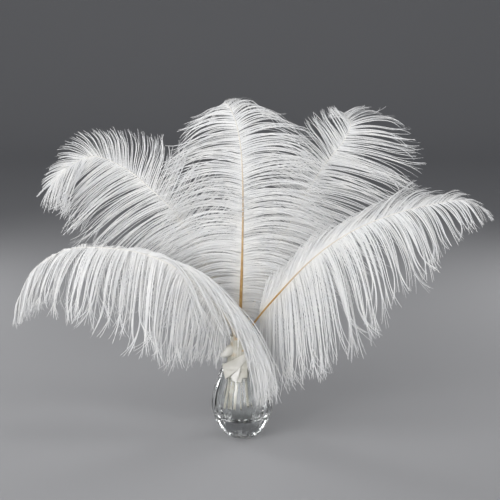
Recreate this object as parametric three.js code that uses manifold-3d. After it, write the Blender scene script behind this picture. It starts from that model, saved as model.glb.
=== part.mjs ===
// Five white ostrich plumes bound in a folded paper wrap and standing in a small cut-glass vase.
// Millimetres, +Z up, origin at the centre of the vase's foot. The plumes fan out along X, and their faces look along -Y.
import * as THREE from "three";
import { mergeVertices } from "three/addons/utils/BufferGeometryUtils.js";
import Module from "manifold-3d";

const wasm = await Module();
wasm.setup();

// ---------------------------------------------------------------- driving dimensions

const VASE_PANELS = 18; // flat cut panels round the vase
const VASE_OUTSIDE = [
  [17, 0],
  [23, 3.8],
  [27.6, 9.5],
  [33.8, 19.5],
  [37.3, 28],
  [39.1, 37],
  [39.1, 44],
  [36.8, 60],
  [32, 75],
  [25.6, 92],
]; // radius and height, from the foot to the rim
const VASE_INSIDE = [
  [22.3, 92],
  [28, 75],
  [33, 60],
  [35.4, 46],
  [34.8, 38],
  [32, 31],
  [26.5, 26.5],
  [17, 24.3],
]; // radius and height, from the rim to the thick floor
const VASE_FLOOR = 24; // thickness of glass under the stems

const WRAP_SIDES = 20;
const WRAP_RINGS = [
  { z: 72, x: -6, r: 13.5 },
  { z: 80, x: -6, r: 15 },
  { z: 90, x: -5.2, r: 15.8 },
  { z: 98, x: -5, r: 15.6 },
  { z: 105, x: -4.8, r: 14 },
  { z: 112, x: -4.4, r: 12.6 },
  { z: 121, x: -4, r: 12 },
  { z: 130, x: -3.6, r: 11.4 },
]; // the bundle's outline, which leans towards the left of the mouth
const WRAP_LEDGE = 1.3; // how far each turn of the paper stands out over the next
const WRAP_PITCH = 21; // height that the paper climbs in one turn
const WRAP_FLAP = { length: 12, height: 13, thick: 2.4, z: 111 }; // loose end of the paper, on the left

const STEM_GAP = 0.35; // room left between touching solids
const QUILL_RADIUS = 2.1; // bare quill, inside the vase and the wrap
const SHAFT_RADIUS = [0.62, 1, 1, 0.95, 0.66, 0.5, 0.4, 0.3, 0.2]; // share of QUILL_RADIUS, quill's end to tip
const QUILL_STEPS = 9; // lengths of bare quill below the first lock

const LOCKS_A_SIDE = 21; // locks of barbs on each side of a shaft
const LOCK_THICK = 1.1;
const LOCK_STATIONS = [0.3, 0.6, 0.84]; // along a lock, from its root
const LOCK_FILL = [0.92, 0.8, 0.55]; // share of the room between its neighbours that a lock fills there
const LEAST_WIDTH = 0.7;
const MOST_WIDTH = 13;
const LOCK_SCATTER = 0.06; // how much the locks' lengths differ
const VANE_SHARE = 0.97; // share of the vane's length that has locks, up to the bare point
const BARB_STEPS = 28; // steps in which a hanging barb is worked out

// Each plume: its shaft's line from the quill's end to the tip, then what its barbs do. Lists run evenly from the
// lowest barb to the tip. "left" and "right" are as seen from the side that the plume faces.
//   from     share of the shaft's length at which the barbs begin
//   face     the way that the vane looks
//   reach    length of the barbs
//   spread   angle between barb and shaft, in degrees
//   fall     how strongly gravity bends the barbs
const PLUMES = {
  feather_centre: {
    line: [
      [1, 2, 37],
      [-0.5, 2, 65],
      [-1.8, 2, 94],
      [-3, 2, 122],
      [-2, 6, 164],
      [0, 14, 229],
      [1, 24, 304],
      [-1, 32, 358],
      [-7, 41, 394],
      [-17, 56, 416],
      [-25, 74, 417],
    ],
    from: 0.289,
    face: [
      [0, -1, 0],
      [0, -1, 0.1],
      [-0.1, -0.85, 0.5],
    ],
    left: {
      reach: [70, 108, 120, 112, 96, 26],
      spread: [80, 74, 72, 72, 70, 30],
      fall: [1.7, 1.5, 1.2, 1.1, 1.1, 1.2],
    },
    right: {
      reach: [70, 108, 122, 112, 88, 30],
      spread: [80, 72, 68, 68, 70, 60],
      fall: [1.7, 1.5, 1, 0.9, 1.1, 1.8],
    },
  },
  feather_upper_left: {
    line: [
      [-18, 8, 29],
      [-14.5, 7, 59],
      [-11, 7, 90],
      [-8.6, 7, 122],
      [-24, 18, 168],
      [-46, 31, 218],
      [-84, 46, 277],
      [-122, 53, 315],
      [-150, 53, 337],
      [-186, 48, 353],
      [-216, 36, 343],
      [-240, 24, 320],
    ],
    from: 0.348,
    face: [
      [0, -1, 0.1],
      [-0.1, -1, 0.3],
      [-0.2, -0.9, 0.4],
    ],
    left: {
      reach: [84, 112, 132, 134, 84, 34],
      spread: [84, 80, 76, 68, 46, 14],
      fall: [1.6, 1.2, 1.1, 1.1, 0.8, 0.4],
    },
    right: {
      reach: [70, 92, 84, 52, 36, 24],
      spread: [62, 62, 58, 50, 42, 14],
      fall: [1, 0.8, 0.5, 0.15, 0.6, 0.4],
    },
  },
  feather_upper_right: {
    line: [
      [7.5, 9, 34],
      [5.2, 8.5, 62],
      [3.5, 8, 92],
      [2.6, 8, 122],
      [10, 15, 154],
      [26, 33, 192],
      [48, 52, 240],
      [86, 66, 308],
      [108, 70, 342],
      [130, 73, 369],
      [139, 80, 390],
      [130, 97, 403],
    ],
    from: 0.337,
    face: [
      [0, -1, 0.1],
      [0, -1, 0.2],
      [0.1, -0.8, 0.6],
    ],
    left: {
      reach: [80, 104, 100, 80, 46, 22],
      spread: [66, 66, 64, 62, 56, 14],
      fall: [1.2, 1, 0.6, 0.35, 0.4, 0.6],
    },
    right: {
      reach: [84, 112, 130, 138, 120, 44],
      spread: [78, 74, 70, 62, 56, 52],
      fall: [1.4, 1.2, 0.95, 0.65, 0.45, 0.8],
    },
  },
  feather_lower_left: {
    line: [
      [-23.5, -4, 33],
      [-18, -4.5, 62],
      [-13, -5, 92],
      [-8.8, -7, 122],
      [-15, -30, 154],
      [-42, -54, 196],
      [-75, -66, 229],
      [-112, -70, 247],
      [-156, -72, 254],
      [-205, -68, 250],
      [-248, -60, 224],
      [-274, -52, 182],
    ],
    from: 0.270,
    face: [
      [-1.15, -1, 0.1],
      [-0.3, -0.85, 0.5],
      [-0.1, -0.5, 0.85],
      [-0.5, -0.5, 0.6],
    ],
    left: {
      reach: [76, 104, 110, 90, 70, 30],
      spread: [112, 94, 90, 52, 36, 10],
      fall: [4.2, 4, 4, 2.2, 1.6, 1.4],
    },
    right: {
      reach: [86, 146, 166, 116, 106, 96, 80, 56, 28],
      spread: [140, 148, 144, 104, 84, 66, 52, 34, 10],
      fall: [9, 4.5, 2.6, 4, 4.4, 3.6, 3, 2, 1.4],
    },
  },
  feather_lower_right: {
    line: [
      [-10, -8, 34],
      [-7.5, -8, 62],
      [-3, -7, 92],
      [2.6, -5, 122],
      [15, -10, 150],
      [46, -28, 193],
      [80, -44, 234],
      [113, -55, 264],
      [149, -62, 286],
      [190, -65, 302],
      [228, -63, 311],
      [267, -57, 314],
      [304, -46, 294],
    ],
    from: 0.279,
    face: [
      [0.1, -1, 0.1],
      [0.1, -0.85, 0.5],
      [0.1, -0.7, 0.7],
      [0.35, -0.5, 0.8],
    ],
    left: {
      reach: [70, 80, 84, 80, 56, 16],
      spread: [30, 36, 38, 50, 54, 20],
      fall: [0.7, 0.9, 1.1, 0.9, 0.8, 1.2],
    },
    right: {
      reach: [122, 130, 140, 112, 60, 16],
      spread: [112, 98, 82, 66, 44, 10],
      fall: [4, 3.6, 3.2, 2.4, 1.7, 1.2],
    },
  },
};

const PLUME_WHITE = 0xf1efe9;
const PAPER_WHITE = 0xeceae2;
const GLASS_TINT = 0xdfe9e8;

// ---------------------------------------------------------------- small helpers

const DOWN = new THREE.Vector3(0, 0, -1);
const vector = (point) => new THREE.Vector3(...point);

// The value at share u of a list whose entries are evenly spaced from 0 to 1.
function along(list, u) {
  const place = Math.min(Math.max(u, 0), 1) * (list.length - 1);
  const i = Math.min(Math.floor(place), list.length - 2);
  return list[i] + (list[i + 1] - list[i]) * (place - i);
}

// A repeatable number from -1 to 1 for a whole number and a salt.
function scatter(index, salt) {
  const wave = Math.sin(index * 12.9898 + salt * 78.233) * 43758.5453;
  return 2 * (wave - Math.floor(wave)) - 1;
}

// A closed geometry from rings with the same count of points each. A ring of one point closes to a tip.
function skin(rings) {
  const points = rings.flat();
  const starts = [];
  rings.reduce((start, ring) => (starts.push(start), start + ring.length), 0);
  const faces = [];
  for (let i = 0; i + 1 < rings.length; i++) {
    const near = rings[i].length;
    const far = rings[i + 1].length;
    const sides = Math.max(near, far);
    for (let k = 0; k < sides; k++) {
      const next = (k + 1) % sides;
      const [a, b] = [starts[i] + (k % near), starts[i] + (next % near)];
      const [c, d] = [starts[i + 1] + (k % far), starts[i + 1] + (next % far)];
      if (near > 1) faces.push(a, b, d);
      if (far > 1) faces.push(a, d, c);
    }
  }
  const last = rings.length - 1;
  for (let k = 1; k + 1 < rings[0].length; k++)
    faces.push(starts[0], starts[0] + k + 1, starts[0] + k);
  for (let k = 1; k + 1 < rings[last].length; k++)
    faces.push(starts[last], starts[last] + k, starts[last] + k + 1);
  const geometry = new THREE.BufferGeometry();
  geometry.setAttribute(
    "position",
    new THREE.Float32BufferAttribute(points.flatMap((p) => p.toArray()), 3),
  );
  geometry.setIndex(faces);
  return geometry;
}

// A geometry as a manifold-3d solid, facing out.
function solid(geometry) {
  const bare = new THREE.BufferGeometry();
  bare.setAttribute("position", geometry.getAttribute("position"));
  if (geometry.index) bare.setIndex(geometry.index);
  const merged = mergeVertices(bare, 1e-4);
  const triVerts = new Uint32Array(merged.index.array);
  const vertProperties = merged.getAttribute("position").array;
  const made = new wasm.Manifold(new wasm.Mesh({ numProp: 3, vertProperties, triVerts }));
  if (made.volume() > 0) return made;
  for (let i = 0; i < triVerts.length; i += 3)
    [triVerts[i + 1], triVerts[i + 2]] = [triVerts[i + 2], triVerts[i + 1]];
  return new wasm.Manifold(new wasm.Mesh({ numProp: 3, vertProperties, triVerts }));
}

// A named mesh from a manifold-3d solid.
function piece(name, made, colour, roughness) {
  const { vertProperties, triVerts } = made.getMesh();
  const geometry = new THREE.BufferGeometry();
  geometry.setAttribute("position", new THREE.BufferAttribute(vertProperties, 3));
  geometry.setIndex(new THREE.BufferAttribute(triVerts, 1));
  const mesh = new THREE.Mesh(
    geometry,
    new THREE.MeshStandardMaterial({ color: colour, roughness, metalness: 0 }),
  );
  mesh.name = name;
  return mesh;
}

// ---------------------------------------------------------------- plumes

const shaftLine = (plume) =>
  new THREE.CatmullRomCurve3(plume.line.map(vector), false, "catmullrom", 0.5);

// The shaft at share u of its length: its centre, the way it runs, the way its vane looks and the vane's right side.
function shaftAt(plume, line, u) {
  const centre = line.getPointAt(u);
  const ahead = line.getTangentAt(u);
  const side = Math.max(u - plume.from, 0) / (1 - plume.from);
  const look = new THREE.Vector3(
    along(plume.face.map((f) => f[0]), side),
    along(plume.face.map((f) => f[1]), side),
    along(plume.face.map((f) => f[2]), side),
  );
  const right = ahead.clone().cross(look).normalize();
  const face = right.clone().cross(ahead);
  return { centre, ahead, face, right, radius: QUILL_RADIUS * along(SHAFT_RADIUS, u) };
}

// The shaft's six-sided section, thicker all over by "extra". Points 0 and 1 are its right side, 3 and 4 its left.
function shaftRing({ centre, face, right, radius }, extra = 0) {
  return [-30, 30, 90, 150, 210, 270].map((degrees) => {
    const turn = THREE.MathUtils.degToRad(degrees);
    return centre
      .clone()
      .addScaledVector(right, (radius + extra) * Math.cos(turn))
      .addScaledVector(face, (radius + extra) * Math.sin(turn));
  });
}

// The bare quill with room round it, for the bore that it runs through.
function quillBore(plume) {
  const line = shaftLine(plume);
  const rings = [];
  for (let i = 0; i <= QUILL_STEPS; i++)
    rings.push(shaftRing(shaftAt(plume, line, (i / QUILL_STEPS) * plume.from), STEM_GAP));
  return solid(skin(rings));
}

// The line of the barb that leaves the shaft at share u of the vane, as points from its root to its tip.
function barbLine(plume, side, u, salt) {
  const line = shaftLine(plume);
  const { centre, ahead, right } = shaftAt(plume, line, plume.from + (1 - plume.from) * u);
  const habit = plume[side];
  const spread = THREE.MathUtils.degToRad(along(habit.spread, u));
  const reach = along(habit.reach, u) * (1 + LOCK_SCATTER * scatter(salt, 2));
  const fall = along(habit.fall, u);
  const start = ahead
    .clone()
    .multiplyScalar(Math.cos(spread))
    .addScaledVector(right, Math.sin(spread) * (side === "right" ? 1 : -1));
  const points = [centre];
  for (let i = 0; i < BARB_STEPS; i++) {
    const t = (i + 0.5) / BARB_STEPS;
    const step = start.clone().addScaledVector(DOWN, fall * t).normalize();
    points.push(points[i].clone().addScaledVector(step, reach / BARB_STEPS));
  }
  return points;
}

// How near a point comes to a barb's line.
const nearness = (point, points) => Math.min(...points.map((p) => p.distanceTo(point)));

// The rings and the tip of a lock that follows one barb's line, between the lines of its neighbours.
function lockRings(points, neighbours, ahead) {
  const curve = new THREE.CatmullRomCurve3(points);
  const rings = LOCK_STATIONS.map((t, i) => {
    const centre = curve.getPoint(t);
    const forward = curve.getTangent(t);
    const across = ahead.clone().addScaledVector(forward, -ahead.dot(forward)).normalize();
    const over = forward.clone().cross(across);
    const room = Math.min(...neighbours.map((other) => nearness(centre, other)));
    const half = Math.min(Math.max(room * LOCK_FILL[i], LEAST_WIDTH), MOST_WIDTH) / 2;
    const corner = (a, o) =>
      centre.clone().addScaledVector(across, a * half).addScaledVector(over, (o * LOCK_THICK) / 2);
    return [corner(-1, -1), corner(-1, 1), corner(1, 1), corner(1, -1)];
  });
  rings.push([curve.getPoint(1)]);
  return rings;
}

// One plume, grown as one piece. Every lock carries on from one face of the shaft's side.
function plumeGeometry(plume) {
  const line = shaftLine(plume);
  const points = [];
  const faces = [];
  const add = (ring) => ring.map((point) => points.push(point) - 1);
  const wall = (a, b, c, d) => faces.push(a, b, c, a, c, d);
  const band = (near, far) =>
    near.forEach((corner, k) => {
      const next = (k + 1) % near.length;
      if (far.length === 1) faces.push(corner, near[next], far[0]);
      else wall(corner, near[next], far[next], far[k]);
    });

  const places = [];
  for (let i = 0; i < QUILL_STEPS; i++) places.push((i / QUILL_STEPS) * plume.from);
  for (let i = 0; i <= LOCKS_A_SIDE; i++)
    places.push(plume.from + ((1 - plume.from) * i * VANE_SHARE) / LOCKS_A_SIDE);
  const sections = places.map((u) => shaftAt(plume, line, u));
  const rings = sections.map((section) => add(shaftRing(section)));
  const foot = rings[0];
  for (let k = 1; k + 1 < foot.length; k++) faces.push(foot[0], foot[k + 1], foot[k]);
  const lines = {};
  for (const side of ["left", "right"])
    lines[side] = [...Array(LOCKS_A_SIDE).keys()].map((i) =>
      barbLine(plume, side, ((i + 0.5) * VANE_SHARE) / LOCKS_A_SIDE, i + (side === "left" ? 0 : 100)),
    );

  for (let i = 0; i + 1 < rings.length; i++) {
    const [near, far] = [rings[i], rings[i + 1]];
    const lock = i - QUILL_STEPS;
    for (let k = 0; k < near.length; k++) {
      const next = (k + 1) % near.length;
      const side = { 0: "right", 3: "left" }[k];
      if (lock < 0 || !side) {
        wall(near[k], near[next], far[next], far[k]);
        continue;
      }
      const neighbours = [lines[side][lock - 1], lines[side][lock + 1]].filter(Boolean);
      const grown = lockRings(lines[side][lock], neighbours, sections[i].ahead).map(add);
      band([near[k], near[next], far[next], far[k]], grown[0]);
      for (let j = 0; j + 1 < grown.length; j++) band(grown[j], grown[j + 1]);
    }
  }
  band(rings.at(-1), add([line.getPointAt(1)]));

  const geometry = new THREE.BufferGeometry();
  geometry.setAttribute(
    "position",
    new THREE.Float32BufferAttribute(points.flatMap((p) => p.toArray()), 3),
  );
  geometry.setIndex(faces);
  return geometry;
}

// ---------------------------------------------------------------- paper wrap

// The outline of the wound paper at each height, with a ledge that climbs round it.
function wrapBody() {
  const first = WRAP_RINGS[0].z;
  const rings = WRAP_RINGS.map(({ z, x, r }) => {
    const ring = [];
    for (let k = 0; k < WRAP_SIDES; k++) {
      const turn = k / WRAP_SIDES;
      const climb = turn + (z - first) / WRAP_PITCH;
      const radius = r - WRAP_LEDGE * (climb - Math.floor(climb));
      const angle = 2 * Math.PI * turn;
      ring.push(new THREE.Vector3(x + radius * Math.cos(angle), radius * Math.sin(angle), z));
    }
    return ring;
  });
  return solid(skin(rings));
}

// The loose end of the paper: a thin leaf that stands out to the left and curls under.
function wrapFlap() {
  const { length, height, thick, z } = WRAP_FLAP;
  const outline = new THREE.Shape([
    new THREE.Vector2(0, height / 2),
    new THREE.Vector2(-length * 0.55, height * 0.1),
    new THREE.Vector2(-length, -height * 0.5),
    new THREE.Vector2(-length * 0.3, -height * 0.62),
    new THREE.Vector2(0, -height / 2),
  ]);
  const leaf = new THREE.ExtrudeGeometry(outline, { depth: thick, bevelEnabled: false });
  leaf.rotateX(Math.PI / 2);
  leaf.translate(-14, -2, z);
  return solid(leaf);
}

function wrapSolid() {
  let made = wrapBody().add(wrapFlap());
  for (const plume of Object.values(PLUMES)) made = made.subtract(quillBore(plume));
  return made;
}

// ---------------------------------------------------------------- vase

// One closed wall: flat panels outside, a hollow inside and a thick floor.
function vaseSolid() {
  const profile = [[0, 0], ...VASE_OUTSIDE, ...VASE_INSIDE, [0, VASE_FLOOR]];
  const outline = profile.map(([radius, height]) => new THREE.Vector2(radius, height));
  const wall = new THREE.LatheGeometry(outline, VASE_PANELS);
  wall.rotateX(Math.PI / 2);
  return solid(wall);
}

// ---------------------------------------------------------------- the arrangement

const arrangement = new THREE.Group();
arrangement.add(piece("vase", vaseSolid(), GLASS_TINT, 0.05));
arrangement.add(piece("paper_wrap", wrapSolid(), PAPER_WHITE, 0.8));
for (const [name, plume] of Object.entries(PLUMES))
  arrangement.add(piece(name, solid(plumeGeometry(plume)), PLUME_WHITE, 0.75));

export default arrangement;
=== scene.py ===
"""Five white ostrich plumes, bound in a folded paper wrap and standing in a small cut-glass vase.

The plumes fan out along X and face -Y. Shapes are worked out in millimetres, and made in metres.
"""

import math

import bpy
import numpy as np
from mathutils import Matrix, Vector


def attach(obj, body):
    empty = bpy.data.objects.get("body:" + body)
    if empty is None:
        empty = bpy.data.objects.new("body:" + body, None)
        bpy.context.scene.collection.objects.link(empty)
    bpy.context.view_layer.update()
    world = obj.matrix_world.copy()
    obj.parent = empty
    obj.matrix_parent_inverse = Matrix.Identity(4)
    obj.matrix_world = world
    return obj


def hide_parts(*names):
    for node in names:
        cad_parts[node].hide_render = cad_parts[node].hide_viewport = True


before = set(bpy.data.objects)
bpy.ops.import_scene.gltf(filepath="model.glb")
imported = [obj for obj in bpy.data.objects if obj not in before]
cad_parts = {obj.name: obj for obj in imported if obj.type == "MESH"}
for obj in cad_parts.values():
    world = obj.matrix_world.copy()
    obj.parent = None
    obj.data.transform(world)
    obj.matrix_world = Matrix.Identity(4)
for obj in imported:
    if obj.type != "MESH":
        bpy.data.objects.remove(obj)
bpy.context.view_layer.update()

MM = 0.001
DOWN = np.array([0.0, 0.0, -1.0])

# ---------------------------------------------------------------- sizes, in millimetres

QUILL_RADIUS = 2.1
QUILL_STOUT = 0.96  # thickness of every bare quill beside QUILL_RADIUS
QUILL_SHARE = 0.2  # share of a shaft's length up to which all are as stout as that
QUILL_HOLLOW = 5.0  # depth of the hole in a quill's cut end
SHAFT_SHARES = [0.85, 1, 1, 0.95, 0.66, 0.5, 0.4, 0.3, 0.2]  # thickness from the cut end to the tip
SHAFT_RINGS = 150
SHAFT_SIDES = 14

PLUME_FACES = 176_500  # triangles in one plume's barbs
VANE_SHARE = 0.995  # share of the vane's length that has barbs
BARB_STEPS = 22
BARB_ROOT = 0.7  # how far from the shaft's middle a barb is rooted, as a share of the radius there
CLING_FROM = 0.18  # share of a barb's length from which its bunch draws it in
HOOK_FROM, HOOK_PACE = 0.55, 4.0  # share of its length from which a barb hooks, and how fast
CURL_FROM, CURL_PACE = 0.62, 1.6  # the same for the chance curl of its end
TUFT_FOOT = 0.22  # half the widest foot of a tuft of down

VASE_PANELS = 18
VASE_OUTSIDE = [(17, 0), (23, 3.8), (27.6, 9.5), (33.8, 19.5), (37.3, 28), (39.1, 37), (39.1, 44),
                (36.8, 60), (32, 75), (25.6, 92)]  # radius and height, from the foot to the rim
VASE_INSIDE = [(22.3, 91.4), (28, 75), (33, 60), (35.4, 46), (34.8, 38), (32, 31), (26.5, 26.5),
               (17, 24.3), (0, 24)]  # radius and height, from the rim to the floor
VASE_RIM = VASE_OUTSIDE[-1][1]
FACET_ROWS = (11.0, 5.0, 0.0)  # heights of the lower corners of the facets round the foot
FACET_DISH = 0.45  # how deep the middle of a facet is ground

# Each plume: its shaft's line from the quill's end to the tip, then how its barbs grow. Lists run evenly
# from the lowest barb to the tip, and "left" and "right" are as seen from the side that the plume faces.
#   start    share of the shaft's length at which the barbs begin
#   face     the way that the vane looks
#   stout    thickness of the shaft beside the thickest one
#   golden   how golden brown the shaft is, from the quill's end to the tip
#   barbs    barbs on each side; crowd: how much closer they stand at the lower end; wide: half
#            a barb's width
#   bunch    fewest and most barbs that cling together, and how tightly
#   fluff    length of the down on a barb, and the angle at which it stands
#   reach    length of the barbs; spread: their angle to the shaft; fall: how strongly they hang
#   late     above 1 where the barbs run straight first and fall only near their ends
#   loose    below 1 where the barbs lie combed side by side, above 1 where they are unruly
#   rise     how much the barbs first stand towards the side that the vane faces
#   hook     how much the barbs' ends curl towards the tip of the plume
#   seed     starts the plume's chance values
# late and loose are 1, and rise and hook are 0, where they aren't given.
PLUMES = {
    "feather_centre": dict(
        line=[(1, 2, 37), (-0.5, 2, 65), (-1.8, 2, 94), (-3, 2, 122), (-2, 6, 164), (0, 14, 229),
              (1, 24, 304), (-1, 32, 358), (-7, 41, 394), (-17, 56, 416), (-25, 74, 417)],
        start=0.289, stout=0.95, barbs=330, crowd=1.2, wide=0.54, bunch=(1, 4, 0.6), fluff=(2.6, 26),
        seed=11, golden=[0, 0, 0.6, 1, 1, 0.95, 0.88, 0.75, 0.4, 0.1, 0],
        face=[(0, -1, 0), (0, -1, 0.1), (-0.1, -0.85, 0.5)],
        left=dict(reach=[70, 108, 120, 112, 96, 26], spread=[80, 74, 72, 72, 70, 30],
                  fall=[1.7, 1.5, 1.2, 1.1, 1.1, 1.2], loose=[0.3, 0.4, 0.6, 1, 1, 1]),
        right=dict(reach=[70, 108, 122, 112, 88, 30], spread=[80, 72, 68, 68, 70, 60],
                   fall=[1.7, 1.5, 1, 0.9, 1.1, 1.8], loose=[0.3, 0.4, 0.6, 1, 1, 1])),
    "feather_upper_left": dict(
        line=[(-18, 8, 29), (-14.5, 7, 59), (-11, 7, 90), (-8.6, 7, 122), (-24, 18, 168), (-46, 31, 218),
              (-84, 46, 277), (-122, 53, 315), (-150, 53, 337), (-186, 48, 353), (-216, 36, 343),
              (-240, 24, 320)],
        start=0.348, stout=0.6, barbs=330, crowd=1.1, wide=0.46, bunch=(1, 4, 0.66), fluff=(2.6, 26),
        seed=23, golden=[0, 0, 0.3, 0.15, 0, 0, 0, 0, 0, 0, 0],
        face=[(0, -1, 0.1), (-0.1, -1, 0.3), (-0.2, -0.9, 0.4)],
        left=dict(reach=[84, 112, 122, 108, 76, 34], spread=[82, 74, 66, 58, 44, 14],
                  fall=[1.5, 1.1, 0.9, 0.8, 0.8, 0.5]),
        right=dict(reach=[60, 84, 78, 52, 37, 26], spread=[70, 74, 76, 64, 44, 14],
                   fall=[0.9, 0.35, 0.1, 0.05, 0.4, 0.4], rise=[-0.3, 0.25, 0.5, 0.1, 0, 0],
                   loose=[1, 1.5, 1.4, 1, 1, 1], hook=[0, 0, 0, 0.5, 0.7, 0.3])),
    "feather_upper_right": dict(
        line=[(7.5, 9, 34), (5.2, 8.5, 62), (3.5, 8, 92), (2.6, 8, 122), (10, 15, 154), (26, 33, 192),
              (48, 52, 240), (86, 66, 308), (108, 70, 342), (130, 73, 369), (139, 80, 390), (130, 97, 403)],
        start=0.337, stout=0.6, barbs=330, crowd=1.1, wide=0.46, bunch=(1, 4, 0.66), fluff=(2.6, 26),
        seed=37, golden=[0, 0, 0.3, 0.15, 0, 0, 0, 0, 0, 0, 0],
        face=[(0, -1, 0.1), (0, -1, 0.2), (0.1, -0.8, 0.6)],
        left=dict(reach=[80, 104, 98, 76, 50, 22], spread=[76, 84, 84, 80, 66, 18],
                  fall=[1.2, 1.4, 1.1, 0.5, 0.4, 0.6], rise=[-0.4, -0.1, 0.65, 0.4, 0.1, 0],
                  loose=[1, 1.4, 1.2, 1, 1, 1]),
        right=dict(reach=[84, 112, 128, 130, 108, 36], spread=[78, 74, 70, 62, 60, 62],
                   fall=[1.4, 1.2, 0.9, 0.6, 0.4, 0.8])),
    "feather_lower_left": dict(
        line=[(-23.5, -4, 33), (-18, -4.5, 62), (-13, -5, 92), (-8.8, -7, 122), (-15, -30, 154),
              (-42, -52, 196), (-75, -60, 229), (-112, -62, 248), (-156, -63, 257), (-207, -62, 256),
              (-251, -58, 231), (-276, -52, 186)],
        start=0.270, stout=0.5, barbs=500, crowd=1.35, wide=0.56, bunch=(2, 6, 0.66), fluff=(2.8, 18),
        seed=41, golden=[0, 0, 0.5, 0.3, 0, 0, 0, 0, 0, 0, 0],
        face=[(-1.15, -1, 0.1), (-0.3, -0.85, 0.5), (-0.1, -0.5, 0.85), (-0.5, -0.5, 0.6)],
        left=dict(reach=[64, 108, 120, 94, 70, 30], spread=[136, 98, 90, 54, 36, 10],
                  fall=[3.4, 4.8, 5.2, 3.6, 2.1, 1.5], rise=[0, 0.1, 0.15, 0, 0, 0],
                  loose=[1, 1.2, 1.6, 1.7, 1.5, 1.3]),
        right=dict(reach=[102, 142, 176, 130, 110, 100, 84, 58, 28],
                   spread=[126, 148, 158, 150, 120, 90, 60, 34, 10],
                   fall=[4.4, 3.2, 3, 3.6, 6, 7, 6, 5, 3],
                   late=[1.2, 1.4, 1.5, 1, 0.6, 0.6, 0.6, 0.5, 0.6],
                   rise=[0, 0, 0.1, 0.25, 0.35, 0.35, 0.3, 0.15, 0],
                   loose=[0.3, 0.35, 0.5, 1.2, 1.7, 1.8, 1.6, 1.4, 1.2])),
    "feather_lower_right": dict(
        line=[(-10, -8, 34), (-7.5, -8, 62), (-3, -7, 92), (2.6, -5, 122), (15, -10, 150), (46, -28, 193),
              (80, -44, 234), (113, -55, 264), (149, -62, 286), (190, -65, 302), (228, -63, 311),
              (265, -57, 315), (297, -46, 300)],
        start=0.279, stout=0.52, barbs=450, crowd=1.6, wide=0.54, bunch=(2, 7, 0.7), fluff=(2.8, 18),
        seed=59, golden=[0, 0, 0.6, 1, 1, 0.75, 0.55, 0.35, 0.15, 0.05, 0, 0],
        face=[(0.1, -1, 0.1), (0.1, -0.85, 0.5), (0.1, -0.7, 0.7), (0.35, -0.5, 0.8)],
        left=dict(reach=[46, 56, 68, 84, 42, 16], spread=[24, 25, 28, 44, 42, 16],
                  fall=[0.5, 0.6, 0.8, 0.8, 0.9, 0.9], loose=[0.3, 0.4, 0.6, 1, 1, 1],
                  rise=[-0.4, -0.4, -0.35, -0.2, 0, 0]),
        right=dict(reach=[104, 132, 132, 97, 54, 16],
                   spread=[145, 139, 126, 104, 84, 75, 66, 55, 44, 27, 10],
                   fall=[3.6, 3.6, 3.3, 2.9, 2, 0.9], loose=[0.4, 0.9, 1.6, 1.6, 1.4, 1])),
}


# ---------------------------------------------------------------- curves

def along(values, share):
    """The values of an evenly spaced list at shares from 0 to 1."""
    values = np.asarray(values, float)
    places = np.clip(share, 0, 1) * (len(values) - 1)
    stations = np.arange(len(values))
    if values.ndim == 1:
        return np.interp(places, stations, values)
    return np.stack([np.interp(places, stations, values[:, k]) for k in range(values.shape[1])], -1)


def unit(vectors):
    return vectors / np.maximum(np.linalg.norm(vectors, axis=-1, keepdims=True), 1e-9)


def smooth_line(points, samples=600):
    """A smooth curve through the points, at even steps along its length."""
    points = np.array(points, float)
    reach = np.vstack([2 * points[0] - points[1], points, 2 * points[-1] - points[-2]])
    t = np.linspace(0, 1, 60, endpoint=False)[:, None]
    spans = []
    for i in range(len(points) - 1):
        a, b, c, d = reach[i:i + 4]
        leave, arrive = (c - a) / 2, (d - b) / 2
        spans.append((2 * b - 2 * c + leave + arrive) * t**3
                     + (-3 * b + 3 * c - 2 * leave - arrive) * t**2 + leave * t + b)
    dense = np.vstack(spans + [points[-1:]])
    length = np.r_[0, np.cumsum(np.linalg.norm(np.diff(dense, axis=0), axis=1))]
    even = np.linspace(0, length[-1], samples)
    return np.stack([np.interp(even, length, dense[:, k]) for k in range(3)], -1)


class Shaft:
    """A plume's shaft: its place, the way it runs and the way its vane looks, at shares of its length."""

    def __init__(self, plume):
        self.plume = plume
        self.curve = smooth_line(plume["line"])
        self.ahead = unit(np.gradient(self.curve, axis=0))

    def at(self, share):
        centre = along(self.curve, share)
        ahead = unit(along(self.ahead, share))
        start = self.plume["start"]
        look = along(self.plume["face"], np.maximum(share - start, 0) / (1 - start))
        right = unit(np.cross(ahead, look))
        return centre, ahead, np.cross(right, ahead), right

    def radius(self, share):
        """The quills are alike low down. From where the barbs begin, each shaft has its own thickness."""
        own = np.clip((share - QUILL_SHARE) / (self.plume["start"] - QUILL_SHARE), 0, 1)
        stout = QUILL_STOUT + (self.plume["stout"] - QUILL_STOUT) * own
        return QUILL_RADIUS * along(SHAFT_SHARES, share) * stout


# ---------------------------------------------------------------- meshes

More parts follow.
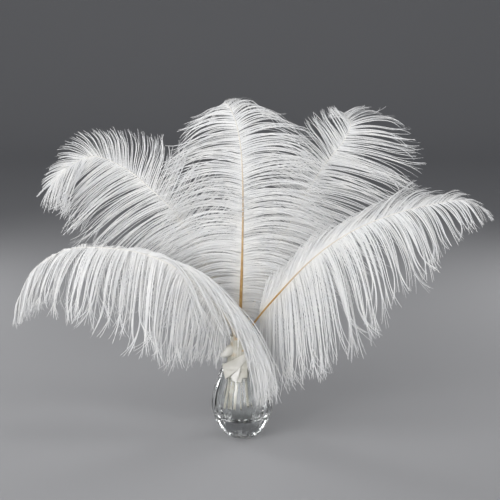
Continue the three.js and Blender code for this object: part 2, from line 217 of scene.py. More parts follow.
def make_piece(name, points, faces, material, node=None, smooth=True, values=None,
               flat_map=None):
    """A mesh piece from points in millimetres and blocks of faces, each block of one size. It stands for the
    node that is named. Values are numbers for each point, and flat_map its place on the baked sheet."""
    mesh = bpy.data.meshes.new(name)
    points = np.asarray(points, float) * MM
    blocks = [np.asarray(block, np.int32) for block in faces if len(block)]
    corners = np.concatenate([block.ravel() for block in blocks])
    sizes = np.concatenate([np.full(len(block), block.shape[1], np.int32) for block in blocks])
    starts = np.r_[0, np.cumsum(sizes)[:-1]].astype(np.int32)
    mesh.vertices.add(len(points))
    mesh.vertices.foreach_set("co", points.ravel())
    mesh.loops.add(len(corners))
    mesh.loops.foreach_set("vertex_index", corners)
    mesh.polygons.add(len(sizes))
    mesh.polygons.foreach_set("loop_start", starts)
    mesh.polygons.foreach_set("use_smooth", np.full(len(sizes), smooth, bool))
    for key, numbers in (values or {}).items():
        layer = mesh.attributes.new(key, "FLOAT", "POINT")
        layer.data.foreach_set("value", np.asarray(numbers, np.float32))
    if flat_map is not None:
        layer = mesh.uv_layers.new(name="OFBake")
        layer.data.foreach_set("uv", flat_map[corners].astype(np.float32).ravel())
    mesh.update(calc_edges=True)
    mesh.validate()
    piece = bpy.data.objects.new(name, mesh)
    bpy.context.scene.collection.objects.link(piece)
    mesh.materials.append(material)
    if node:
        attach(piece, "root")
        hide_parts(node)
    return piece


def tube_faces(rings, sides):
    """Quads between rings that follow each other, each closed on itself."""
    k = np.arange(sides)
    near = (np.arange(rings - 1) * sides)[:, None] + k
    near_next = (np.arange(rings - 1) * sides)[:, None] + (k + 1) % sides
    return np.stack([near, near_next, near_next + sides, near + sides], -1).reshape(-1, 4)


# ---------------------------------------------------------------- materials

def new_material(name):
    material = bpy.data.materials.new(name)
    material.use_nodes = True
    nodes, links = material.node_tree.nodes, material.node_tree.links
    shader = nodes["Principled BSDF"]
    return material, nodes, links, shader


def cloudy_group():
    """A slow change of shade over a surface: a soft mask from 0 to 1 and a fine-grained height."""
    group = bpy.data.node_groups.new("Cloudy shade", "ShaderNodeTree")
    sockets = group.interface
    sockets.new_socket("Patch size", in_out="INPUT", socket_type="NodeSocketFloat").default_value = 60
    sockets.new_socket("Grain size", in_out="INPUT", socket_type="NodeSocketFloat").default_value = 900
    sockets.new_socket("Shade", in_out="OUTPUT", socket_type="NodeSocketFloat")
    sockets.new_socket("Grain", in_out="OUTPUT", socket_type="NodeSocketFloat")
    nodes, links = group.nodes, group.links
    enter, leave = nodes.new("NodeGroupInput"), nodes.new("NodeGroupOutput")
    place = nodes.new("ShaderNodeTexCoord")
    patches, grain = nodes.new("ShaderNodeTexNoise"), nodes.new("ShaderNodeTexNoise")
    patches.inputs["Detail"].default_value = 3
    grain.inputs["Detail"].default_value = 4
    stretch = nodes.new("ShaderNodeMapRange")
    stretch.inputs["From Min"].default_value = 0.32
    stretch.inputs["From Max"].default_value = 0.68
    for noise, size in ((patches, "Patch size"), (grain, "Grain size")):
        links.new(place.outputs["Object"], noise.inputs["Vector"])
        links.new(enter.outputs[size], noise.inputs["Scale"])
    links.new(patches.outputs["Fac"], stretch.inputs["Value"])
    links.new(stretch.outputs["Result"], leave.inputs["Shade"])
    links.new(grain.outputs["Fac"], leave.inputs["Grain"])
    return group


CLOUDY = cloudy_group()


def cloudy(nodes, patch, grain):
    node = nodes.new("ShaderNodeGroup")
    node.node_tree = CLOUDY
    node.inputs["Patch size"].default_value = patch
    node.inputs["Grain size"].default_value = grain
    return node


def mixed(nodes, links, share, first, second):
    """A colour between two, each a colour or a socket."""
    mix = nodes.new("ShaderNodeMix")
    mix.data_type = "RGBA"
    links.new(share, mix.inputs["Factor"])
    for socket, colour in ((mix.inputs["A"], first), (mix.inputs["B"], second)):
        if isinstance(colour, tuple):
            socket.default_value = (*colour, 1)
        else:
            links.new(colour, socket)
    return mix.outputs["Result"]


def spread_over(nodes, links, value, low, high):
    """A number that runs from low to high as a mask runs from 0 to 1."""
    node = nodes.new("ShaderNodeMapRange")
    node.inputs["To Min"].default_value = low
    node.inputs["To Max"].default_value = high
    links.new(value, node.inputs["Value"])
    return node.outputs["Result"]


def bumped(nodes, links, shader, height, strength, distance):
    bump = nodes.new("ShaderNodeBump")
    bump.inputs["Strength"].default_value = strength
    bump.inputs["Distance"].default_value = distance
    links.new(height, bump.inputs["Height"])
    links.new(bump.outputs["Normal"], shader.inputs["Normal"])


def attribute(nodes, name):
    node = nodes.new("ShaderNodeAttribute")
    node.attribute_name = name
    return node.outputs["Fac"]


def barb_material():
    """Bleached white down, a little creamier near the shaft of the lowest barbs."""
    material, nodes, links, shader = new_material("White down")
    shade = cloudy(nodes, 70, 1500)
    white = mixed(nodes, links, shade.outputs["Shade"], (0.93, 0.925, 0.91), (0.86, 0.865, 0.87))
    warm = mixed(nodes, links, attribute(nodes, "warmth"), white, (0.82, 0.74, 0.60))
    links.new(warm, shader.inputs["Base Color"])
    links.new(spread_over(nodes, links, shade.outputs["Grain"], 0.5, 0.75), shader.inputs["Roughness"])
    shader.inputs["Specular IOR Level"].default_value = 0.35
    return material


def shaft_material():
    """Horn: cream where the quill is bare, golden brown up the lower shaft, and white towards the tip. The
    hole in the quill's cut end is painted near black: painted shade.
    """
    material, nodes, links, shader = new_material("Quill horn")
    shade = cloudy(nodes, 160, 2600)
    cream = mixed(nodes, links, shade.outputs["Shade"], (0.93, 0.90, 0.81), (0.88, 0.83, 0.71))
    gold = mixed(nodes, links, shade.outputs["Shade"], (0.58, 0.37, 0.13), (0.44, 0.24, 0.07))
    colour = mixed(nodes, links, attribute(nodes, "golden"), cream, gold)
    pale = mixed(nodes, links, attribute(nodes, "whiteness"), colour, (0.88, 0.86, 0.81))
    # painted shade: near black inside the hole of the quill's cut end
    hole_painted_shade = mixed(nodes, links, attribute(nodes, "hollow"), pale, (0.05, 0.035, 0.02))
    links.new(hole_painted_shade, shader.inputs["Base Color"])
    links.new(spread_over(nodes, links, shade.outputs["Grain"], 0.28, 0.5), shader.inputs["Roughness"])
    bumped(nodes, links, shader, shade.outputs["Grain"], 0.25, 0.0002)
    return material


def paper_material():
    """Soft white paper tape: matt and faintly creased. Painted shade makes it greyer where one layer lies
    over the quills, in upright streaks round the turns, and towards one side of the loop and of the folds.
    """
    material, nodes, links, shader = new_material("White paper tape")
    shade = cloudy(nodes, 130, 1400)
    white = mixed(nodes, links, shade.outputs["Shade"], (0.90, 0.89, 0.86), (0.80, 0.78, 0.73))
    # painted shade: the tape is mixed towards grey by a mask for one layer over the quills, for upright
    # streaks and for one side of the loop and of the folds
    grey_layer_shade = mixed(nodes, links, attribute(nodes, "thinness_and_shade"), white, (0.47, 0.45, 0.37))
    tan = mixed(nodes, links, attribute(nodes, "stain"), grey_layer_shade, (0.60, 0.40, 0.19))
    colour = mixed(nodes, links, attribute(nodes, "shadow"), tan, (0.06, 0.05, 0.04))
    links.new(colour, shader.inputs["Base Color"])
    links.new(spread_over(nodes, links, shade.outputs["Grain"], 0.6, 0.9), shader.inputs["Roughness"])
    bumped(nodes, links, shader, shade.outputs["Grain"], 0.5, 0.0004)
    return material


def glass_material():
    """Clear cut glass, with the faint smears that handling leaves."""
    material, nodes, links, shader = new_material("Cut glass")
    shade = cloudy(nodes, 45, 700)
    tint = mixed(nodes, links, shade.outputs["Shade"], (0.985, 0.995, 0.99), (0.965, 0.985, 0.98))
    links.new(tint, shader.inputs["Base Color"])
    links.new(spread_over(nodes, links, shade.outputs["Shade"], 0.0, 0.035), shader.inputs["Roughness"])
    shader.inputs["Transmission Weight"].default_value = 1.0
    shader.inputs["IOR"].default_value = 1.5
    return material


def stage_material(name, colour):
    """A plain matt finish."""
    material, _, _, shader = new_material(name)
    shader.inputs["Base Color"].default_value = (*colour, 1)
    shader.inputs["Roughness"].default_value = 0.9
    shader.inputs["Specular IOR Level"].default_value = 0.1
    return material


DOWN_WHITE = barb_material()
HORN = shaft_material()
PAPER = paper_material()
GLASS = glass_material()


# ---------------------------------------------------------------- plumes

def bunches(rng, count, fewest, most):
    """A bunch's number for each barb, so that neighbours fall into small groups."""
    sizes = rng.integers(fewest, most + 1, count)
    return np.repeat(np.arange(count), sizes)[:count]


def drawn_together(paths, group, tightness):
    """The paths, each drawn towards its group's middle line: most at 0.7 of its length, less at its end."""
    groups = group.max() + 1
    middle = np.zeros((groups,) + paths.shape[1:])
    np.add.at(middle, group, paths)
    middle /= np.bincount(group, minlength=groups)[:, None, None]
    t = np.linspace(0, 1, paths.shape[1])
    pull = np.interp(t, [CLING_FROM, 0.7, 1], [0, 1, 0.6])
    weight = (tightness[group][:, None] * pull)[..., None]
    return paths + weight * (middle[group] - paths)


def drift(rng, share, size):
    """A slow change along the vane, so that the barbs crowd in some places and part in others."""
    waves = [np.sin(share * pace + rng.uniform(0, 6.3)) for pace in (9, 17, 31, 55)]
    return size * sum(waves) / 1.6


def barb_paths(plume, shaft, side, rng):
    """Each barb's line on one side of a plume, from the shaft to its end, with what its down needs."""
    count = plume["barbs"]
    habit = plume[side]
    place = (np.arange(count) + rng.uniform(0.2, 0.8, count)) / count
    share = place ** plume["crowd"] * VANE_SHARE
    up_shaft = plume["start"] + (1 - plume["start"]) * share
    centre, ahead, face, right = shaft.at(up_shaft)
    outward = right if side == "right" else -right
    fewest, most, tight = plume["bunch"]
    group = bunches(rng, count, fewest, most)
    loose = along(habit.get("loose", [1, 1]), share)

    def own(size):
        """A chance value for each barb."""
        return rng.normal(0, size, count)

    def shared(size):
        """A chance value that the barbs of a bunch have in common."""
        return rng.normal(0, size, count)[group] * loose

    spread = along(habit["spread"], share) + drift(rng, share, 3) * loose + shared(1.5) + own(2)
    spread = np.radians(spread)[:, None]
    reach = along(habit["reach"], share) * np.clip(1 + shared(0.05) + own(0.06), 0.74, 1.15)
    fall = along(habit["fall"], share) * np.exp(drift(rng, share, 0.1) + shared(0.06) + own(0.06))
    late = along(habit.get("late", [1, 1]), share)[:, None]
    hook = along(habit.get("hook", [0, 0]), share)[:, None]
    lean = shared(0.07) + own(0.05) + along(habit.get("rise", [0, 0]), share)
    start = ahead * np.cos(spread) + outward * np.sin(spread) + face * lean[:, None]
    sway = shared(0.09)[:, None]
    phase = (shared(2.0) + own(0.3))[:, None]
    pace = (6 + shared(1.5))[:, None]
    curl = ahead * (shared(0.45) + own(0.55))[:, None] + face * (shared(0.15) + own(0.25))[:, None]

    points = [centre + outward * (shaft.radius(up_shaft) * BARB_ROOT)[:, None]]
    step = (reach / BARB_STEPS)[:, None]
    for i in range(BARB_STEPS):
        t = (i + 0.5) / BARB_STEPS
        wave = np.sin(phase + pace * t) * sway * t
        bend = start + DOWN * fall[:, None] * t**late + (face * 0.8 + ahead * 0.6) * wave
        bend = unit(bend + ahead * hook * max(t - HOOK_FROM, 0) * HOOK_PACE)
        points.append(points[-1] + unit(bend + curl * max(t - CURL_FROM, 0) * CURL_PACE) * step)
    paths = np.stack(points, 1)
    tightness = np.clip(rng.normal(tight, 0.2, group.max() + 1), 0.1, 0.93)
    tightness *= np.bincount(group, np.minimum(loose, 1)) / np.bincount(group)
    return drawn_together(paths, group, tightness), face, reach, share


def barb_ribbons(plume, paths, face, reach, rng):
    """The barbs as ribbons that taper and twist a little: the way each runs, the way across it, and the
    ribbons' points and triangles."""
    count, nodes = paths.shape[:2]
    t = np.linspace(0, 1, nodes)
    forward = unit(np.gradient(paths, axis=1))
    across = unit(np.cross(forward, face[:, None, :]))
    twist = (rng.normal(0, 0.5, count)[:, None] + rng.normal(0, 0.5, count)[:, None] * t)[..., None]
    across = across * np.cos(twist) + np.cross(forward, across) * np.sin(twist)
    taper = 1 - 0.7 * t**2.6
    slender = 0.75 + 0.25 * np.minimum(reach / 80, 1)
    width = (plume["wide"] * taper * slender[:, None])[..., None]
    edges = np.stack([paths - across * width, paths + across * width], 2)
    first = (np.arange(count)[:, None] * nodes + np.arange(nodes - 1)) * 2
    one = np.stack([first, first + 1, first + 3], -1)
    other = np.stack([first, first + 3, first + 2], -1)
    return forward, across, edges.reshape(-1, 3), np.stack([one, other], 2).reshape(-1, 3)


def barb_tufts(plume, paths, forward, across, reach, share, number, rng):
    """Tufts of down off both edges of the barbs, of three points each, with the barb that each grows on, its
    place along it and its side. They are longer low down on the plume."""
    nodes = paths.shape[1]
    tufts = np.maximum((reach / reach.sum() * number).astype(int), 4)
    owner = np.repeat(np.arange(len(paths)), tufts)
    rank = np.arange(len(owner)) - np.repeat(np.cumsum(tufts) - tufts, tufts)
    place = (rank + rng.uniform(0, 1, len(owner))) / tufts[owner] * 0.985 + 0.012
    at = place * (nodes - 1)
    low = np.minimum(at.astype(int), nodes - 2)
    rest = (at - low)[:, None]

    def at_tufts(vectors):
        return vectors[owner, low] * (1 - rest) + vectors[owner, low + 1] * rest

    root = at_tufts(paths)
    along_barb = unit(at_tufts(forward))
    aside = unit(at_tufts(across))
    over = np.cross(along_barb, aside)
    hand = np.where(rank % 2 == 0, 1.0, -1.0)[:, None]
    length, stand = plume["fluff"]
    swing = rng.normal(0, 0.75, len(owner))[:, None]
    angle = np.radians(stand) * np.clip(rng.normal(1, 0.3, len(owner)), 0.3, 1.8)[:, None]
    size = length * (1 - 0.5 * place) * rng.uniform(0.6, 1.25, len(owner))
    size = (size * (1 + 0.9 * np.exp(-share[owner] / 0.2)))[:, None]
    away = aside * hand * np.cos(swing) + over * np.sin(swing)
    tip = root + size * (along_barb * np.cos(angle) + away * np.sin(angle) + DOWN * 0.08)
    foot = np.minimum(TUFT_FOOT, size * 0.1)
    points = np.stack([root - along_barb * foot, root + along_barb * foot, tip], 1)
    return points.reshape(-1, 3), owner, place, hand


def plume_down(name, plume):
    """All the barbs of a plume: each a slender tapering ribbon, with down standing off both its edges."""
    rng = np.random.default_rng(plume["seed"])
    shaft = Shaft(plume)
    made = [barb_paths(plume, shaft, side, rng) for side in ("left", "right")]
    paths, face, reach, share = (np.concatenate(part) for part in zip(*made))
    count, nodes = paths.shape[:2]
    forward, across, edges, ribbon = barb_ribbons(plume, paths, face, reach, rng)
    tufts, owner, place, hand = barb_tufts(plume, paths, forward, across, reach, share,
                                           PLUME_FACES - len(ribbon), rng)
    tuft_faces = len(edges) + np.arange(len(tufts)).reshape(-1, 3)

    def for_points(ribbons, tufts):
        """Values for two points at each step of a ribbon, and for the three points of each tuft."""
        return np.concatenate([np.repeat(np.ravel(ribbons), 2), np.repeat(tufts, 3)])

    t = np.linspace(0, 1, nodes)
    distance = for_points(t * reach[:, None], place * reach[owner])
    low_down = for_points(np.repeat(share, nodes), share[owner])
    warmth = 0.55 * np.exp(-distance / 9) * np.exp(-low_down / 0.2)
    # On the baked sheet each barb has a strip of its own: "run" is along it and "edge" across it.
    row = for_points(np.repeat(np.arange(count), nodes), owner)
    edge = np.r_[np.tile([-0.35, 0.35], count * nodes), (hand * [0.0, 0.05, 0.42]).ravel()]
    run = np.r_[np.repeat(np.tile(t, count), 2), (place[:, None] + [-0.001, 0.001, 0.012]).ravel()]
    flat_map = np.stack([np.clip(run, 0, 1), (row + 0.5 + edge) / count], -1)
    return make_piece(name + "_down", np.concatenate([edges, tufts]), [np.concatenate([ribbon, tuft_faces])],
                      DOWN_WHITE, name, smooth=False, values={"warmth": warmth}, flat_map=flat_map)


def plume_shaft(name, plume):
    """The shaft, from the cut hollow end of the quill to the tip, with a groove down its back."""
    shaft = Shaft(plume)
    share = np.linspace(0, 1, SHAFT_RINGS)
    centre, ahead, face, right = shaft.at(share)
    radius = shaft.radius(share)
    turn = np.arange(SHAFT_SIDES) * 2 * math.pi / SHAFT_SIDES
    groove = np.where(np.abs(turn - 1.5 * math.pi) < 0.3, 0.28, 0)
    grooved = 1 - groove * np.clip((share - 0.25) / 0.05, 0, 1)[:, None]
    rings = (centre[:, None] + right[:, None] * (radius[:, None] * np.cos(turn))[..., None]
             + face[:, None] * (radius[:, None] * np.sin(turn) * 0.92 * grooved)[..., None])
    rings[0] += ahead[0] * (np.sin(turn) * radius[0] * 1.2)[:, None]
    mouth = centre[0] + (rings[0] - centre[0]) * 0.74
    points = np.concatenate([[mouth + ahead[0] * QUILL_HOLLOW, mouth], rings]).reshape(-1, 3)
    faces = tube_faces(SHAFT_RINGS + 2, SHAFT_SIDES)
    tip = len(points)
    points = np.concatenate([points, [centre[-1] + ahead[-1] * 0.6, centre[0] + ahead[0] * QUILL_HOLLOW]])
    last, k = tip - SHAFT_SIDES, np.arange(SHAFT_SIDES)
    caps = np.concatenate([
        np.stack([last + k, last + (k + 1) % SHAFT_SIDES, np.full(SHAFT_SIDES, tip)], -1),
        np.stack([(k + 1) % SHAFT_SIDES, k, np.full(SHAFT_SIDES, tip + 1)], -1)])
    shares = np.r_[np.repeat(np.r_[0, 0, share], SHAFT_SIDES), 1, 0]
    # painted shade inside the quill's hole: full deep in the hole, 0.6 at its mouth
    hollow = np.zeros(len(points))
    hollow[:SHAFT_SIDES] = hollow[-1] = 1
    hollow[SHAFT_SIDES:2 * SHAFT_SIDES] = 0.6
    golden = along(plume["golden"], shares)
    whiteness = np.clip((shares - plume["start"]) / 0.06, 0, 1) * (1 - golden)
    values = {"golden": golden, "hollow": hollow, "whiteness": whiteness}
    return make_piece(name + "_shaft", points, [faces, caps], HORN, name, values=values)


for plume_name, plume_build in PLUMES.items():
    plume_down(plume_name, plume_build)
    plume_shaft(plume_name, plume_build)


# ---------------------------------------------------------------- paper wrap

# Height, place along x and radius of the bound quills.
WRAP_MIDDLE = [(72, -6, 11.5), (80, -6, 13.2), (90, -5.2, 14), (98, -5, 14), (105, -4.8, 13),
               (112, -4.4, 12.2), (121, -4, 11.8), (134, -3.6, 11.4)]
WRAP_LOW, WRAP_TOP = 72, 133  # heights between which the turns lie
WRAP_LEAVES = 108  # height below which the folds leave the quills for the outside of the vase's rim
WRAP_THICK = 1.1  # thickness of the wound turns together
TURN_STEP = 0.9  # how far one turn stands out over the next


def crumpled(across, down, seed, creases=7):
    """Heights of a crumpled sheet: a few sharp creases at chance angles, and a little waviness."""
    rng = np.random.default_rng(seed)
    height = np.zeros(np.broadcast(across, down).shape)
    for _ in range(creases):
        angle, place, pace = rng.uniform(0, math.pi), rng.uniform(0, 1), rng.uniform(1.5, 4)
        way = (across * math.cos(angle) + down * math.sin(angle)) * pace + place
        height += (np.abs(way % 2 - 1) - 0.5) * rng.uniform(0.4, 1)
    return height / creases * 2


def sheet_solid(front, thick):
    """Points and faces of a sheet of paper, from a grid of points on its front."""
    rows, columns = front.shape[:2]
    over = unit(np.cross(np.gradient(front, axis=1), np.gradient(front, axis=0)))
    points = np.concatenate([front.reshape(-1, 3), (front - over * thick).reshape(-1, 3)])
    place = np.arange(rows * columns).reshape(rows, columns)
    quads = np.stack([place[:-1, :-1], place[1:, :-1], place[1:, 1:], place[:-1, 1:]], -1).reshape(-1, 4)
    rim = np.concatenate([place[0, :-1], place[:-1, -1], place[-1, :0:-1], place[:0:-1, 0]])
    step = rows * columns
    back = quads[:, ::-1] + step
    side = np.stack([rim, np.roll(rim, -1), np.roll(rim, -1) + step, rim + step], -1)
    return points, np.concatenate([quads, back, side])


def round_the_quills(x, z, off):
    """The place at x and z on the front of the binding, standing off it. Lower down it runs out over the
    vase's rim and down the outside of the glass."""
    heights, middles, radii = np.array(WRAP_MIDDLE, float).T
    glass_radii, glass_heights = np.array(VASE_OUTSIDE, float).T
    over_rim = np.clip((WRAP_LEAVES - z) / 14, 0, 1)
    over_rim = over_rim * over_rim * (3 - 2 * over_rim)
    outside = np.interp(z, glass_heights, glass_radii) + 1.2
    middle = np.interp(z, heights, middles) * (1 - over_rim)
    radius = np.interp(z, heights, radii) * (1 - over_rim) + outside * over_rim + off
    aside = (x - middle) / radius
    beyond = np.abs(aside) - 0.95
    front = np.where(beyond < 0, np.sqrt(np.maximum(1 - aside**2, 0)), 0.31 - beyond * 1.2)
    return np.stack([x, -radius * front, z], -1)


def folded_band(corners, off, bulge, seed, thick=0.5, rough=0.9, crest=0.5, grid=(26, 40)):
    """A flat fold of tape laid on the front of the quills. Corners run upper left, upper right, lower
    right and lower left as x and z; bulge lifts a crease along it, at the share crest of its width."""
    down, across = np.meshgrid(np.linspace(0, 1, grid[0]), np.linspace(0, 1, grid[1]), indexing="ij")
    upper_left, upper_right, lower_right, lower_left = np.array(corners, float)
    flat = ((upper_left + (upper_right - upper_left) * across[..., None]) * (1 - down)[..., None]
            + (lower_left + (lower_right - lower_left) * across[..., None]) * down[..., None])
    lift = off + bulge * np.interp(down, [0, crest, 1], [0, 1, 0]) + rough * crumpled(across, down, seed)
    return sheet_solid(round_the_quills(flat[..., 0], flat[..., 1], lift), thick)


def sleeve():
    """The turns of tape round the quills: closed on itself, creased, with a shallow step at each turn."""
    sides, rows = 96, 70
    turn = np.arange(sides) / sides * 2 * math.pi
    heights, middles, radii = np.array(WRAP_MIDDLE, float).T
    z = np.linspace(WRAP_LOW, WRAP_TOP, rows)[:, None] + np.sin(turn * 2 + 0.6) * 0.8
    radius = np.interp(z, heights, radii) + 0.9 * crumpled(turn / 3 % 1 + 0 * z, z / 50, 5, 9)
    radius = radius + TURN_STEP * ((z / 21 - turn / (2 * math.pi)) % 1) - 0.4
    radius = radius + 0.35 * np.sin(turn * 5 + z / 9)
    radius = radius + 4.2 * np.exp(-(((z - 137) / 13) ** 2)) * np.maximum(-np.sin(turn), 0) ** 2
    middle = np.interp(z, heights, middles)
    outer, inner = (np.stack([middle + wall * np.cos(turn), wall * np.sin(turn), z + 0 * turn], -1)
                    for wall in (radius, radius - WRAP_THICK))
    rings = np.concatenate([outer, inner[::-1]])
    faces = tube_faces(2 * rows, sides)
    k = np.arange(sides)
    last = (2 * rows - 1) * sides
    closing = np.stack([last + k, last + (k + 1) % sides, (k + 1) % sides, k], -1)
    return rings.reshape(-1, 3), np.concatenate([faces, closing])


def puff(centre, size, seed, rings=26, sides=44):
    """A puffed loop of the tape at the side, wider at its lower end and leaning in at the top."""
    tilt = np.linspace(0.02, math.pi - 0.02, rings)[:, None]
    turn = np.arange(sides) / sides * 2 * math.pi
    ball = np.stack([np.sin(tilt) * np.cos(turn), np.sin(tilt) * np.sin(turn),
                     np.cos(tilt) + 0 * turn], -1)
    ball = np.sign(ball) * np.abs(ball) ** 0.85
    swell = 1 + 0.14 * crumpled((ball[..., 0] + 1) / 2, (ball[..., 2] + 1) / 2, seed)
    points = np.array(centre) + ball * np.array(size) * swell[..., None]
    points[..., 0] += ball[..., 2] * 2.4 + ball[..., 0] * ball[..., 2] * -2.2
    points[..., 2] += (points[..., 0] - centre[0]) * 0.12
    faces = tube_faces(rings, sides)[:, ::-1]
    k = np.arange(sides)
    top, bottom = rings * sides, rings * sides + 1
    caps = np.concatenate([np.stack([k, (k + 1) % sides, np.full(sides, top)], -1),
                           np.stack([(rings - 1) * sides + (k + 1) % sides, (rings - 1) * sides + k,
                                     np.full(sides, bottom)], -1)])
    points = np.concatenate([points.reshape(-1, 3), [points[0].mean(0), points[-1].mean(0)]])
    return points, faces, caps


def spot(points, x, z, wide, high):
    """A soft mark on the front of the binding, at x and z: 1 in its middle and 0 away from it."""
    near = ((points[:, 0] - x) / wide) ** 2 + ((points[:, 2] - z) / high) ** 2
    return np.exp(-near ** 2) * (points[:, 1] < 0)


def wrap():
    """The binding: creased turns of white tape, a puffed loop at the left and folded ends in front."""
    points, faces = sleeve()
    x, y, z = points.T
    stain = 0.9 * spot(points, -7.2, 130.6, 3.4, 1.9) + 0.95 * spot(points, 2.2, 114.4, 3, 1.4)
    stain += 0.3 * spot(points, -11.5, 109, 4, 2.6) + 0.3 * spot(points, -13, 122, 1.6, 5)
    shadow = spot(points, 3.6, 114.4, 0.8, 1) + 0.55 * (z > 132.4) * (x < -3)
    # painted shade on the turns: grey all round, with upright streaks and faint rings of grey up the sleeve
    angle = np.arctan2(y, x + 4)
    streaks = 0.12 * np.sin(angle * 23 + np.sin(z / 7)) + 0.1 * np.sin(angle * 41)
    thinness_and_shade = np.clip(0.74 + streaks + 0.1 * np.sin(z / 3.1), 0, 1)
    make_piece("wrap_turns", points, [faces], PAPER, "paper_wrap",
               values={"stain": np.clip(stain, 0, 1), "shadow": np.clip(shadow, 0, 1), "thinness_and_shade": thinness_and_shade})
    # painted shade: the loop greys from its left side towards the sleeve on its right
    points, faces, caps = puff((-18, -6, 112.3), (8.2, 7.2, 7.6), 3)
    make_piece("wrap_loop", points, [faces, caps], PAPER, "paper_wrap",
               values={"thinness_and_shade": np.interp(points[:, 0], [-26, -13], [0.05, 0.5])})
    folds = {  # each sheet, and how much painted shade greys it at its left and right edges
        "wrap_fold": (folded_band([(-25, 97), (6, 112), (6, 104), (-21, 81)],
                                  off=1.4, bulge=2.4, seed=2, crest=0.35), 0.5, 0.25),
        "wrap_leaf": (folded_band([(-14.5, 85), (-1.5, 98), (-4.8, 85), (-8.4, 79)],
                                  off=2.4, bulge=1.0, seed=4, rough=0.5), 0, 0),
        "wrap_end": (folded_band([(-3, 99), (6.5, 106), (6.5, 84), (-5, 84.5)],
                                 off=0.6, bulge=-0.8, seed=8), 0.35, 0.75),
        "wrap_tail": (folded_band([(-13, 88), (3, 92), (-1, 78.5), (-6.5, 80)],
                                  off=0.0, bulge=0.3, seed=12), 0.2, 0.6),
    }
    for name, ((points, faces), left, right) in folds.items():
        place = (points[:, 0] - points[:, 0].min()) / np.ptp(points[:, 0])
        make_piece(name, points, [faces], PAPER, "paper_wrap",
                   values={"thinness_and_shade": left + (right - left) * place})


wrap()


# ---------------------------------------------------------------- vase

def vase():
    """One wall of clear glass: upright cuts round the egg, small facets down to the foot, a plain inside."""
    between = 12  # points from the middle of one cut to the next
    lowest_cut = 17.0
    sides = VASE_PANELS * between
    turn = np.arange(sides) / sides * 2 * math.pi + math.pi / 2
    across = np.arange(sides) % between / between
    cut = np.clip(1 - np.minimum(across, 1 - across) * 6, 0, 1)
    outside = smooth_line([(radius, 0, height) for radius, height in VASE_OUTSIDE])
    inside = smooth_line([(radius, 0, height) for radius, height in VASE_INSIDE], 40)[:-1]
    heights = np.r_[lowest_cut, np.linspace(lowest_cut + 1, VASE_RIM - 1.5, 44), VASE_RIM - 0.4]
    depths = np.interp(heights, [lowest_cut, 21, 46, 60, 88, VASE_RIM], [0, 1.1, 1.1, 0.7, 0.6, 0.4])
    profile = [(np.interp(height, outside[:, 2], outside[:, 0]), height, depth)
               for height, depth in zip(heights, depths)]
    profile += [(25.0, VASE_RIM, 0), (22.9, VASE_RIM, 0)]
    profile += [(radius, height, 0) for radius, _, height in inside]
    rings = [np.stack([(radius - cut * depth) * np.cos(turn), (radius - cut * depth) * np.sin(turn),
                       np.full(sides, height)], -1) for radius, height, depth in profile]
    points = np.concatenate(rings + [[(0, 0, VASE_INSIDE[-1][1])]])
    floor, last, k = len(points) - 1, (len(rings) - 1) * sides, np.arange(sides)
    triangles = [np.stack([last + k, last + (k + 1) % sides, np.full(sides, floor)], -1)]
    facets = []
    upper, panel = np.arange(VASE_PANELS) * between, np.arange(VASE_PANELS)
    for row, height in enumerate(FACET_ROWS):
        angle = (panel + (0.5 if row % 2 == 0 else 0)) / VASE_PANELS * 2 * math.pi + math.pi / 2
        radius = np.interp(height, outside[:, 2], outside[:, 0])
        lower = len(points) + panel
        points = np.concatenate([points, np.stack([radius * np.cos(angle), radius * np.sin(angle),
                                                   np.full(VASE_PANELS, height)], -1)])
        lean = 0 if row % 2 == 0 else 1
        under, beside = lower[(panel + lean) % VASE_PANELS], lower[(panel + lean - 1) % VASE_PANELS]
        facets.append(np.stack([beside, under, upper], -1))
        if row == 0:
            edge = (upper[:, None] + np.arange(between + 1)) % sides
            triangles += [np.stack([edge[:, i], under, edge[:, i + 1]], -1) for i in range(between)]
        else:
            facets.append(np.stack([upper, under, np.roll(upper, -1)], -1))
        upper = lower
    facets = np.concatenate(facets)
    first, second, third = points[facets].transpose(1, 0, 2)
    dished = points[facets].mean(1) - FACET_DISH * unit(np.cross(second - first, third - first))
    middle = len(points) + np.arange(len(facets))
    triangles += [np.stack([facets[:, i], facets[:, (i + 1) % 3], middle], -1) for i in range(3)]
    points = np.concatenate([points, dished, [(0, 0, 0)]])
    triangles.append(np.stack([np.roll(upper, -1), upper, np.full(VASE_PANELS, len(points) - 1)], -1))
    make_piece("vase_glass", points, [tube_faces(len(rings), sides), np.concatenate(triangles)], GLASS,
               "vase", smooth=False)


vase()


# ---------------------------------------------------------------- stage, light and camera, in metres

def stage():
    """A pale floor that curves up into a plain backdrop."""
    half, bend_from, bend, top = 6.0, 2.4, 1.8, 3.8
    profile = [(-half, 0.0), (bend_from, 0.0)]
    profile += [(bend_from + bend * math.sin(angle), bend - bend * math.cos(angle))
                for angle in np.linspace(0.1, math.pi / 2, 20)]
    profile += [(bend_from + bend, top)]
    points = [(x, y, z) for y, z in profile for x in (-half, half)]
    faces = [(2 * i, 2 * i + 1, 2 * i + 3, 2 * i + 2) for i in range(len(profile) - 1)]
    material = stage_material("Pale sweep", (0.45, 0.45, 0.46))
    piece = make_piece("Backdrop", np.array(points) / MM, [faces], material)
    piece.location.z = -0.0002  # a little below the vase's foot, so that the two faces don't flicker


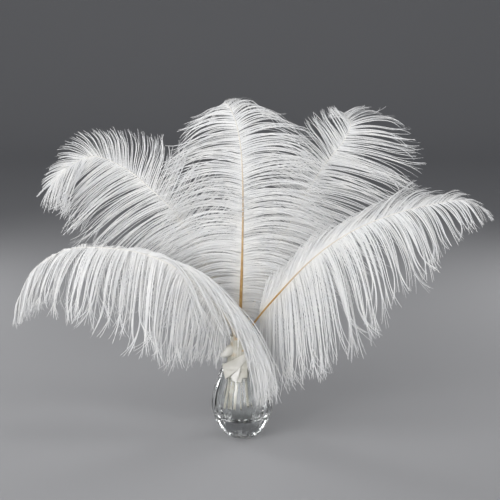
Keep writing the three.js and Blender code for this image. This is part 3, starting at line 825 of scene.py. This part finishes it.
def area_light(name, place, aim, size, watts):
    lamp = bpy.data.lights.new(name, "AREA")
    lamp.shape = "RECTANGLE"
    lamp.size, lamp.size_y = size
    lamp.energy = watts
    light = bpy.data.objects.new(name, lamp)
    bpy.context.scene.collection.objects.link(light)
    light.location = place
    light.rotation_euler = (Vector(aim) - Vector(place)).to_track_quat("-Z", "Y").to_euler()


def lights():
    """A soft key from the left, a broad front light, a weak fill and top light, and two lights that draw
    the edges of the glass."""
    area_light("Key", (-1.15, -1.35, 1.05), (0, 0, 0.25), (1.2, 1.2), 16)
    area_light("Front", (-0.35, -2.2, 0.4), (0, 0, 0.2), (2.0, 1.6), 28)
    area_light("Fill", (1.3, -1.3, 0.6), (0, 0, 0.2), (1.2, 1.2), 4)
    area_light("Top", (0.1, -0.5, 1.5), (0, 0, 0.2), (0.7, 0.4), 2.5)
    area_light("Left edge", (-1.0, 0.8, 0.5), (0, 0, 0.15), (0.4, 0.9), 5)
    area_light("Right edge", (1.0, 0.8, 0.5), (0, 0, 0.15), (0.4, 0.9), 5)


def camera():
    """In front of the fan, looking along +Y and 12 degrees down at its middle."""
    distance, tilt, view_width = 1.8, math.radians(12), 0.625
    aim = Vector((0.0099, 0, 0.2417))
    lens = bpy.data.cameras.new("Camera")
    lens.sensor_width = 36.0
    lens.lens = lens.sensor_width * distance / view_width
    lens.clip_start, lens.clip_end = 0.05, 30
    eye = bpy.data.objects.new("Camera", lens)
    bpy.context.scene.collection.objects.link(eye)
    eye.location = aim + distance * Vector((0, -math.cos(tilt), math.sin(tilt)))
    eye.rotation_euler = (aim - eye.location).to_track_quat("-Z", "Y").to_euler()
    bpy.context.scene.camera = eye


def room():
    """A faint and slightly cool light from all round."""
    world = bpy.data.worlds.new("Soft room")
    world.use_nodes = True
    background = world.node_tree.nodes["Background"]
    background.inputs["Color"].default_value = (0.9, 0.93, 1.0, 1)
    background.inputs["Strength"].default_value = 0.14
    bpy.context.scene.world = world
    bpy.context.scene.view_settings.view_transform = "Standard"


stage()
lights()
camera()
room()
